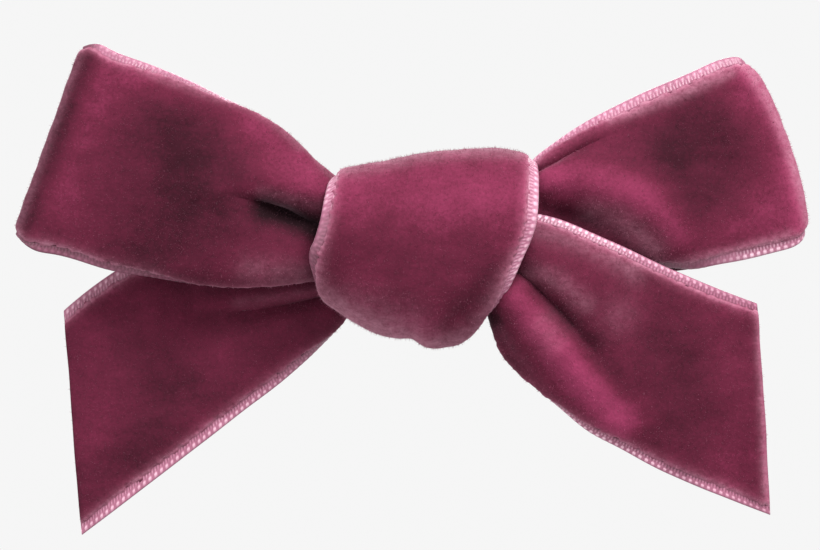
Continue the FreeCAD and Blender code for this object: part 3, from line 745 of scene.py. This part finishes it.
tailRight = {
    "rungs": [
        ((9.5, -10.6, 4.4), (7.4, -9.8, -6.4), 1.6, 15, 60),
        ((14.2, -11.3, 3.3), (8.6, -9.9, -12.4), 2.0, 15, 115),
        ((19.6, -11.9, 1.5), (12.0, -9.9, -17.5), 2.0, 10, 115),
        ((26.5, -11.6, -1.6), (18.4, -9.6, -23.0), 1.6, 10, 60),
        ((33.4, -10.6, -4.7), (26.4, -8.9, -27.4), 1.1, 5, 10),
        ((38.2, -9.4, -6.6), (35.0, -7.8, -31.4), 0.7, 0, 0),
        ((42.0, -8.0, -8.0), (43.9, -6.4, -34.9), 0.4, 0, 0),
    ],
    "creases": [
        {"line": [(8.5, -2.0), (13.0, -5.4), (17.5, -9.8), (21.5, -14.8), (26.5, -21.5)], "high": -3.0,
         "wide": (1.6, 1.9), "strength": (1, 0), "gather": 0.3},
        {"line": [(9.5, -5.0), (12.0, -8.2), (15.2, -11.8), (18.6, -15.6), (22.5, -19.8), (27.0, -24.0)],
         "high": 1.4, "wide": 2.2, "strength": (1, 0.2)},
        {"line": [(11.0, 0.0), (16.0, -2.6), (23.0, -7.0), (31.0, -13.0)], "high": 1.3, "wide": 2.6,
         "strength": (1, 0)},
        {"line": [(34.0, -9.0), (36.0, -18.0), (39.0, -30.0)], "high": -0.6, "wide": 4.0, "strength": (0.7, 1)},
    ],
    "ripple": (0.12, 9.0, 4),
    "level": 0.38,
    # marks of painted shade and highlight, partly the pile's own tone
    "toneAndShadeMarks": [
        ([(30.0, -12.0), (34.0, -20.0)], 4.5, -0.10),
        ([(37.0, -14.0), (38.5, -27.0)], 3.2, 0.08),
        ([(13.0, -3.6), (18.0, -5.6)], 2.0, 0.10),
        ([(24.7, -9.8)], 2.6, 0.14),
        ([(11.4, -7.4), (14.6, -11.4), (18.2, -15.7), (21.6, -19.5), (25.0, -23.0)], 2.0, 0.34),
        ([(17.0, -14.6), (24.5, -22.0)], 2.8, 0.16),
        ([(9.6, -11.6), (12.0, -15.5)], 1.4, -0.16),
        ([(9.0, -9.8)], 1.1, -0.45),
        ([(13.8, -6.5), (18.2, -10.6)], 1.4, -0.24),
        ([(17.0, -9.2), (21.5, -15.0)], 2.0, -0.05),
        ([(20.5, -12.5), (23.5, -18.0)], 2.6, -0.12),
        ([(42.2, -9.0), (43.7, -34.0)], 0.6, 0.4),
    ],
    # marks of painted sheen
    "bloom": [
        ([(14.0, 1.2), (20.0, -0.8), (26.0, -4.2)], 1.4, 0.2),
        ([(13.0, -3.8), (16.5, -5.0), (20.0, -7.8)], 1.2, 0.22),
        ([(24.2, -9.5)], 2.2, 0.12),
        ([(42.2, -9.0), (43.7, -34.4)], 0.75, 0.5),
        ([(9.6, -11.0), (16.0, -19.5), (24.0, -25.4)], 0.7, 0.04),
        ([(14.6, -10.6), (16.0, -12.6)], 1.5, 0.1),
    ],
    # the threads' level along each selvedge is partly painted shade and light
    "threadToneAndShade": (([0, 0.2, 0.5, 1], [0.1, 0.2, 0.34, 0.28], [0.3, 0.6, 0.9, 0.6]),
              ([0, 0.5, 1], [0.36, 0.32, 0.26], [0.95, 0.75, 0.6])),
    "wide": ([0, 0.9, 1], [1, 1, 0.9]),
}


# A tail: its ladder with its creases, and a cut end.
def makeTail(name, settings, side, along=250, across=104):
    grid = ladder(settings["rungs"], along, across, side)
    normals = gridNormals(grid, side)
    for fold in settings["creases"]:
        grid = crease(grid, normals, **fold)
    grid = rippled(grid, side, *settings["ripple"])
    nap = toneAndShadeMarks(grid, settings["level"], settings["toneAndShadeMarks"])
    bloom = toneAndShadeMarks(grid, 0, settings["bloom"])
    return makeRibbon(name, grid, side, settings, nap, bloom, name, cutEnd=True)


# The ring of the knot goes from behind the plate over the top, down the front and back underneath. Each
# point: the share of the way from the front to the back, the share of the half height, and the selvedges' x.
knot = {
    "ring": [
        (0.995, 0.0, -11.6, 11.6), (0.995, 0.28, -11.6, 11.8), (0.96, 0.48, -11.6, 12.2),
        (0.74, 0.84, -11.8, 13.2), (0.46, 1.0, -12.0, 14.0), (0.22, 0.9, -12.2, 14.2),
        (0.06, 0.55, -12.8, 14.1), (0.0, 0.0, -13.8, 13.5), (0.06, -0.5, -14.7, 11.4),
        (0.22, -0.86, -14.2, 8.4), (0.46, -1.0, -13.3, 5.2), (0.74, -0.82, -12.2, 7.4),
        (0.96, -0.48, -11.8, 10.4), (0.995, -0.28, -11.6, 11.2),
    ],
    "top": [(-14.0, 6.8), (-11.6, 8.0), (-8.3, 8.9), (-5.8, 9.2), (-2.4, 9.9), (4.4, 10.8), (10.8, 10.9),
            (14.6, 9.8)],
    "bottom": [(-15.0, -5.6), (-10.8, -8.6), (-7.0, -10.9), (-2.6, -12.2), (1.6, -13.2), (6.5, -11.6),
               (14.6, -8.0)],
    "front": [(-14.0, -15.6), (-8.0, -16.3), (0.0, -16.6), (8.0, -16.4), (14.6, -15.6)],
    "back": 1.75,
    # the threads' level along each selvedge is partly painted shade and light
    "threadToneAndShade": (([0, 0.25, 0.33, 0.42, 0.47, 0.55, 0.75, 1], [0.3, 0.3, 0.44, 0.5, 0.24, 0.12, 0.08, 0.3],
               [0.8, 0.6, 0.5, 0.4, 0.3, 0.25, 0.2, 0.8]),
              ([0, 0.25, 0.33, 0.52, 0.6, 0.66, 0.8, 1], [0.3, 0.3, 0.5, 0.5, 0.36, 0.12, 0.08, 0.3],
               [0.8, 0.6, 0.45, 0.45, 0.3, 0.1, 0.1, 0.8])),
    "wide": ([0, 0.3, 0.5, 0.58, 0.66, 0.8, 1], [0.9, 1.3, 1.25, 1.1, 0.5, 0.4, 0.9]),
    "tuck": (0.45, 2.2),  # how deep each edge turns in, and over what width
    "creases": [
        {"line": [(8.5, -4.5), (4.6, -8.6), (2.6, -11.5)], "high": -0.9, "wide": 1.5, "strength": (0.3, 1)},
        {"line": [(-4.0, -5.0), (-2.4, -9.0), (-1.6, -12.5)], "high": -0.5, "wide": 1.2, "strength": (0, 1)},
        {"line": [(-12.0, 4.0), (-3.0, 3.5), (8.0, 4.5), (13.0, 3.0)], "high": 0.5, "wide": 3.0,
         "strength": (0.6, 0.6)},
        {"line": [(-12.0, -2.5), (-4.0, -2.0), (6.0, -1.0)], "high": -0.4, "wide": 2.6, "strength": (1, 0.5)},
    ],
    "ripple": (0.12, 8.0, 14),
    "level": 0.46,
    # marks of painted shade and highlight, partly the pile's own tone
    "toneAndShadeMarks": [
        ([(-9.0, 5.0), (2.0, 6.0), (12.0, 5.0)], 3.6, 0.15),
        ([(-8.0, -2.0), (6.0, -3.0)], 3.0, -0.06),
        ([(-11.5, -2.0), (-11.0, 2.0)], 1.6, -0.10),
        ([(8.0, -5.0), (3.0, -11.0)], 1.8, -0.12),
        ([(-8.0, -8.0), (0.0, -11.0)], 2.2, 0.14),
    ],
    # marks of painted sheen
    "bloom": [
        ([(-12.0, 8.0), (-6.0, 9.2), (4.4, 10.9), (13.0, 10.6)], 1.1, 0.26),
        ([(-14.4, -5.0), (-10.5, -8.8), (-4.0, -11.6), (1.6, -13.0), (6.0, -12.0), (9.5, -7.6), (12.0, -3.0)],
         1.6, 0.54),
        ([(-9.0, -8.0), (-2.0, -10.0)], 2.4, 0.14),
        ([(-12.2, 4.0), (-13.0, -3.0)], 1.0, 0.12),
    ],
    # an even painted sheen on the knot's back
    "backPaintedSheen": 0.1,
}


def heightAt(points, x):
    p = np.array(points, float)
    knots = (p[:, 0] - p[0, 0]) / (p[-1, 0] - p[0, 0])
    u = np.clip((x - p[0, 0]) / (p[-1, 0] - p[0, 0]), 0, 1)
    return smoothLine(p[:, 1:], u.ravel(), knots)[:, 0].reshape(np.shape(x))


# The ring's share and edge values, closed smoothly: the points are repeated at both ends of the spline.
def knotGrid(along, across, squeeze=0.0):
    ring = np.array(knot["ring"], float)
    around = np.concatenate([ring[-4:], ring, ring[:5]])
    knots = np.linspace(0, 1, len(around))
    start, stop = 4 / (len(around) - 1), (len(ring) + 4) / (len(around) - 1)
    u = np.linspace(start, stop, along)
    share = smoothLine(around, u, knots)
    v = np.linspace(0, 1, across)[None, :]
    x = share[:, 2:3] + (share[:, 3:4] - share[:, 2:3]) * v
    top, bottom, front = (heightAt(knot[key], x) for key in ("top", "bottom", "front"))
    backY = knot["back"] - 0.35 * (1 - (x / 14) ** 2)
    y = front + (backY - front) * share[:, 0:1]
    middle, half = (top + bottom) / 2, (top - bottom) / 2
    drift = np.clip((backY - y) / 8, 0, 1)
    z = share[:, 1:2] * half + middle * drift
    grid = np.stack([x, y, z], -1)
    return grid - gridNormals(grid, 1) * squeeze


# The knot: its ring, with edges that turn in, and creases and marks of painted shade and sheen on its face
# only.
def makeKnot():
    grid = knotGrid(300, 110)
    normals = gridNormals(grid, 1)
    deep, over = knot["tuck"]
    edge = np.minimum(*acrossCloth(grid))
    grid = grid - normals * (deep * np.clip(1 - edge / over, 0, 1) ** 2)[..., None]
    face = grid[..., 1] < -5
    for fold in knot["creases"]:
        grid = np.where(face[..., None], crease(grid, normals, **fold), grid)
    grid = rippled(grid, 1, *knot["ripple"])
    # painted shade, highlight and sheen on the face; the back gets an even level and an even painted sheen
    nap = np.where(face, toneAndShadeMarks(grid, knot["level"], knot["toneAndShadeMarks"]), knot["level"])
    bloom = np.where(face, toneAndShadeMarks(grid, 0, knot["bloom"]), knot["backPaintedSheen"])
    return makeRibbon("knot", grid, 1, knot, nap, bloom, "knot_wrap")


knotPiece = makeKnot()
knotPiece.name = "knot_ribbon"
makeLoop("loop_left", loopLeft, -1)
makeLoop("loop_right", loopRight, 1)
makeTail("tail_left", tailLeft, -1)
makeTail("tail_right", tailRight, 1)


core = {"squeeze": 0.9, "middle": (0.5, -6.5, -0.5), "endFrom": 9.0, "endOver": 5.0, "pleats": 5.5,
        "twist": 0.05, "pull": 0.03, "endPull": 0.34, "pleatPull": 0.16, "nap": 0.4, "fill": 0.9}


# The crushed ribbon inside the knot: the knot's own rings drawn in towards its middle line, more at the ends
# and between the pleats, which run along the clip.
def makeCore():
    grid = knotGrid(160, 40, squeeze=core["squeeze"])
    angle = np.linspace(0, 2 * math.pi, 160)[:, None]
    x = grid[..., 0]
    middleX, middleY, middleZ = core["middle"]
    ends = np.clip((np.abs(x - middleX) - core["endFrom"]) / core["endOver"], 0, 1)
    pleats = np.abs(np.sin(angle * core["pleats"] + core["twist"] * x)) ** 0.6
    centre = np.stack([x, np.full_like(x, middleY), np.full_like(x, middleZ)], -1)
    pull = (core["pull"] + core["endPull"] * ends**2) + core["pleatPull"] * (1 - pleats) * ends
    grid = grid + (centre - grid) * np.stack([0 * pull, pull, pull], -1)
    rows, columns = grid.shape[:2]
    grid = grid[:-1]
    faces = cells(rows - 1, columns, closeRows=True)
    first = np.arange(rows - 1) * columns
    caps = [first.tolist(), (first + columns - 1)[::-1].tolist()]
    piece = newObject("gathered_core", grid, faces[:, ::-1].tolist() + caps, [velvet])
    setMark(piece, "nap", np.full(grid.shape[:2], core["nap"]))
    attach(piece, "bow_and_plate")
    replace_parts(piece, "gathered_middle")
    print("gathered middle made")


makeCore()


glueDabs = {"left": (-19.0, -1.35, 1.2), "right": (19.0, -1.35, 1.2), "size": (2.7, 1.75, 2.3)}


# A blob: a sphere's grid, stretched to its size, with a lumpy skin.
def makeGlueDab(name, centre, seed):
    rows, columns = 26, 40
    up = np.linspace(0, math.pi, rows)[:, None]
    turn = np.linspace(0, 2 * math.pi, columns, endpoint=False)[None, :]
    ball = np.stack([np.sin(up) * np.cos(turn), np.cos(up) + 0 * turn, np.sin(up) * np.sin(turn)], -1)
    lumps = 1 + 0.07 * softHills(ball * 10, 9.0, seed)[..., None]
    grid = ball * lumps * glueDabs["size"] + centre
    grid = np.concatenate([grid[:1, :1].repeat(columns, 1), grid[1:-1], grid[-1:, :1].repeat(columns, 1)])
    points = np.concatenate([grid[0, :1], grid[1:-1].reshape(-1, 3), grid[-1, :1]])
    body = cells(rows - 2, columns, closeColumns=True) + 1
    j = np.arange(columns)
    first = [[0, 1 + (k + 1) % columns, 1 + k] for k in j]
    base, last = 1 + (rows - 3) * columns, len(points) - 1
    final = [[last, base + k, base + (k + 1) % columns] for k in j]
    faces = body[:, ::-1].tolist() + first + final
    dab = newObject(name, points, [f[::-1] for f in faces], [setGlue])
    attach(dab, "bow_and_plate")
    return dab


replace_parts(makeGlueDab("glue_dab_left", glueDabs["left"], 21), "glue_dabs")
makeGlueDab("glue_dab_right", glueDabs["right"], 22)


leaf = {"pin": (-27.93, 5.71), "eye": 0.975, "thick": 0.35, "width": 4.4, "foot": (25.9, 2.73), "roll": 0.33,
        "crown": (-1.015, 4.175)}


# A leaf spring: a rounded flat section carried along its side view, which rolls round the pin at one end
# and curls up into a foot at the other.
def makeTensionBar():
    pinX, pinY = leaf["pin"]
    footX, footY = leaf["foot"]
    crownX, crownY = leaf["crown"]
    eye = np.radians(np.linspace(-50, 270, 60))
    around = np.stack([pinX + leaf["eye"] * np.cos(eye), pinY + leaf["eye"] * np.sin(eye)], -1)
    curl = np.radians(np.linspace(-90, 170, 40))
    foot = np.stack([footX + leaf["roll"] * np.cos(curl), footY + leaf["roll"] * np.sin(curl)], -1)
    middle = smoothLine([around[-1], (pinX + 4, 4.62), (pinX + 9, 4.4), (crownX - 8, 4.22), (crownX, crownY),
                         (crownX + 9, 3.95), (crownX + 18, 3.25), foot[0]], np.linspace(0, 1, 160))
    path = np.concatenate([around[:-1], middle, foot[1:]])
    tangent = unit(np.gradient(path, axis=0))
    normal = tangent[:, ::-1] * (-1, 1)
    half, flat, edge = leaf["width"] / 2, leaf["thick"] / 2, 0.12
    turn = np.radians(np.arange(0, 360, 30))
    corner = np.stack([np.cos(turn), np.sin(turn)], -1)
    centres = np.stack([np.where(np.cos(turn) > 1e-9, 1, -1) * (half - edge),
                        np.where(np.sin(turn) > 1e-9, 1, -1) * (flat - edge)], -1)
    profile = centres + corner * edge
    rings = path[:, None, :] + normal[:, None, :] * profile[None, :, 1:2]
    grid = np.concatenate([rings, np.broadcast_to(profile[None, :, 0:1], rings.shape[:2] + (1,))], -1)
    rows, columns = grid.shape[:2]
    faces = cells(rows, columns, closeColumns=True)
    caps = [list(range(columns))[::-1], [(rows - 1) * columns + j for j in range(columns)]]
    bar = newObject("tension_bar", grid, faces.tolist() + caps, [springSteel])
    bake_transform(bar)
    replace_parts(bar, "tension_bar_hinge_half", "tension_bar_free_half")
    print("tension bar made")


makeTensionBar()

# the clip's other steel
steelOf = {"base_plate": clipSteel, "closing_arm": clipSteel, "latch_wing_upper": clipSteel,
           "latch_wing_lower": clipSteel, "hinge_pin": pinSteel}
for node, steel in steelOf.items():
    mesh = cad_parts[node].data
    mesh.materials.clear()
    mesh.materials.append(steel)
print("clip finished")


stage = {"floorZ": -75.0, "floorRadius": 380.0, "floorShade": 0.38, "cloudSize": 160.0, "clouds": 0.02,
         "white": 0.92, "ambient": 0.6}


# A round floor that fades to nothing at its rim: its alpha falls with the distance from its middle.
def makeFloor():
    height, radius = stage["floorZ"], stage["floorRadius"]
    turn = np.linspace(0, 2 * math.pi, 96, endpoint=False)
    points = np.stack([np.cos(turn), np.sin(turn), 0 * turn], -1) * radius
    points[:, 2] = height
    f = Finish("pale_floor", Roughness=0.9, Specular_IOR_Level=0.1)
    reach = f.add("ShaderNodeMapping", {}, {"Vector": f.place, "Location": (0, 0, -height / radius),
                                            "Scale": (1 / (radius * mm),) * 3})
    nearness = f.add("ShaderNodeTexGradient", {"gradient_type": "SPHERICAL"}, {"Vector": reach}, out="Fac")
    black, white = (0, 0, 0), (1, 1, 1)
    shade = f.noise(stage["cloudSize"], 2.0) * stage["clouds"] + (stage["floorShade"] - stage["clouds"] / 2)
    f.set(Base_Color=f.ramp(shade, (0, black), (1, white)), Alpha=f.ramp(nearness, (0.02, black), (0.5, white)))
    floor = newObject("floor", points, [list(range(len(turn)))], [f.material])
    print("floor made")


# The world lights the bow softly, and looks pale to the camera.
def makeWorld():
    world = bpy.data.worlds.new("studio")
    bpy.context.scene.world = world
    world.use_nodes = True
    nodes, links = world.node_tree.nodes, world.node_tree.links
    nodes.clear()
    seen, light, path = (nodes.new("ShaderNodeBackground"), nodes.new("ShaderNodeBackground"),
                         nodes.new("ShaderNodeLightPath"))
    seen.inputs["Color"].default_value = (stage["white"],) * 3 + (1,)
    light.inputs["Color"].default_value = (1, 1, 1, 1)
    light.inputs["Strength"].default_value = stage["ambient"]
    mix, output = nodes.new("ShaderNodeMixShader"), nodes.new("ShaderNodeOutputWorld")
    links.new(path.outputs["Is Camera Ray"], mix.inputs[0])
    links.new(light.outputs[0], mix.inputs[1])
    links.new(seen.outputs[0], mix.inputs[2])
    links.new(mix.outputs[0], output.inputs[0])


lights = [  # name, place, size and power; each points at the bow
    ("key", (200.0, -380.0, 460.0), 0.30, 6.5),
    ("fill", (-420.0, -380.0, 80.0), 0.5, 1.5),
    ("back", (60.0, 420.0, 360.0), 0.4, 2.6),
]


def makeLights():
    for name, place, size, power in lights:
        data = bpy.data.lights.new(name, "AREA")
        data.size, data.energy = size, power
        lamp = bpy.data.objects.new(name, data)
        collection.objects.link(lamp)
        lamp.location = [c * mm for c in place]
        aim = np.array([0, -8, 0]) - np.array(place)
        across, up = math.hypot(aim[0], aim[1]), aim[2]
        lamp.rotation_euler = (math.pi / 2 + math.atan2(up, across), 0, math.atan2(-aim[0], aim[1]))


makeFloor()
makeWorld()
makeLights()
